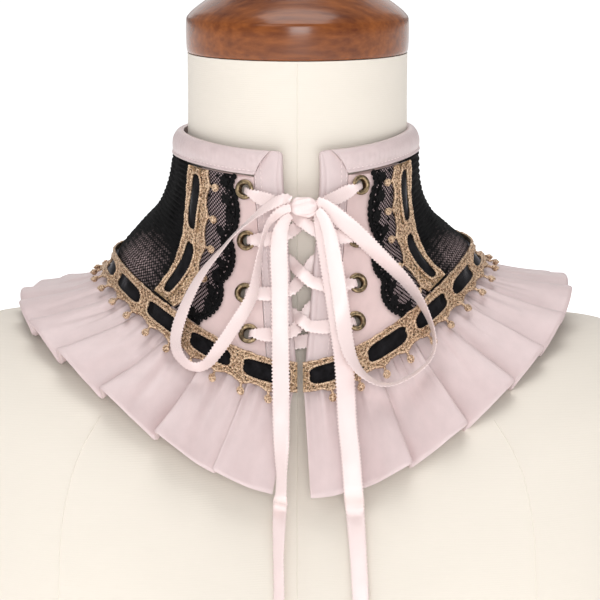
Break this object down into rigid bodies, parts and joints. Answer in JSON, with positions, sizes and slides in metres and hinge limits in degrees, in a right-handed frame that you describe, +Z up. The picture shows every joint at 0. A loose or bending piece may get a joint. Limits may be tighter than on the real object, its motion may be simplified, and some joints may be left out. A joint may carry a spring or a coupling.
{
  "type": "neck corset on dress form",
  "caption": "Laced satin neck corset with lace inserts, gold braid, a gathered ruffle and a ribbon bow, worn by a limbless dress form with a wooden neck cap.",
  "frame": {"origin": "centre of the dress form's bounding box on its flat base, on the surface it stands on", "axes": "+Z up along the neck, -Y towards the laced front, +X to the right as seen from the front"},
  "size_m": [0.3794, 0.2633, 0.466],
  "materials": {
    "satin": "satin",
    "mesh": "matte",
    "lace": "matte",
    "velvet": "matte",
    "braid": "satin",
    "brass": "satin",
    "ribbon": "satin",
    "linen": "matte",
    "wood": "gloss"
  },
  "bodies": {
    "root": {"form_body": "linen", "form_cap": "wood", "top_band": "satin", "placket_left": "satin", "placket_right": "satin", "front_panel_left": "satin", "front_panel_right": "satin", "back_panel_left": "mesh", "back_panel_right": "mesh", "lace_left": "lace", "lace_right": "lace", "braid_side_left": "braid", "braid_side_right": "braid", "velvet_side_left": "velvet", "velvet_side_right": "velvet", "braid_neck": "braid", "velvet_neck": "velvet", "ruffle": "satin", "eyelet_left_1": "brass", "eyelet_left_2": "brass", "eyelet_left_3": "brass", "eyelet_left_4": "brass", "eyelet_right_1": "brass", "eyelet_right_2": "brass", "eyelet_right_3": "brass", "eyelet_right_4": "brass", "ribbon_cross_left_2": "ribbon", "ribbon_cross_left_3": "ribbon", "ribbon_cross_left_4": "ribbon", "ribbon_cross_right_2": "ribbon", "ribbon_cross_right_3": "ribbon", "ribbon_cross_right_4": "ribbon", "ribbon_bottom_bar": "ribbon", "ribbon_top_left": "ribbon", "ribbon_top_right": "ribbon", "bow_knot": "ribbon", "bow_loop_left": "ribbon", "bow_loop_right": "ribbon", "tail_left": "ribbon", "tail_right": "ribbon"}
  },
  "joints": []
}
